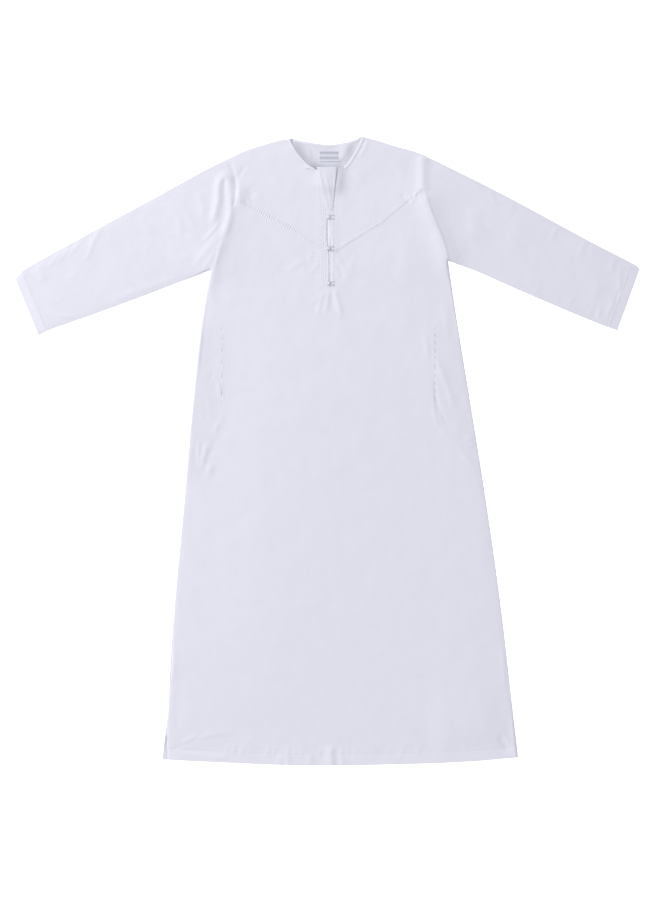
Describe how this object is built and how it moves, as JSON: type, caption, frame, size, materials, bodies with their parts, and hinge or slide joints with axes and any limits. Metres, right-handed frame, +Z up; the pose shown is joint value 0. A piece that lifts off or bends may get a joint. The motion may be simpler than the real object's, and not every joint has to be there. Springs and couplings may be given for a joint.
{
  "type": "thobe robe laid flat",
  "caption": "Ankle-length collarless robe with long sleeves, a V yoke and a looped front slit, laid flat on its back.",
  "frame": {"origin": "on the surface that the robe lies on, under the middle of its length and near its centre line", "axes": "+Z up from the surface, +Y from the hem towards the neck, +X to the right of someone who looks down on the front"},
  "size_m": [1.4136, 1.422, 0.016],
  "materials": {
    "robe_cloth": "smooth white cotton blend, matt with a slight sheen",
    "label_weave": "woven satin tape",
    "knot_cord": "white braided cord"
  },
  "bodies": {
    "root": {"back_panel": "robe_cloth", "front_panel": "robe_cloth", "yoke_left": "robe_cloth", "yoke_right": "robe_cloth", "sleeve_left": "robe_cloth", "sleeve_right": "robe_cloth", "pocket_bag_left": "robe_cloth", "pocket_bag_right": "robe_cloth", "binding_left": "robe_cloth", "binding_right": "robe_cloth", "binding_back": "robe_cloth", "placket_left": "robe_cloth", "placket_right": "robe_cloth", "underlap": "robe_cloth", "woven_label": "label_weave", "button_1": "knot_cord", "button_2": "knot_cord", "button_3": "knot_cord", "loop_1": "knot_cord", "loop_2": "knot_cord", "loop_3": "knot_cord"}
  },
  "joints": []
}
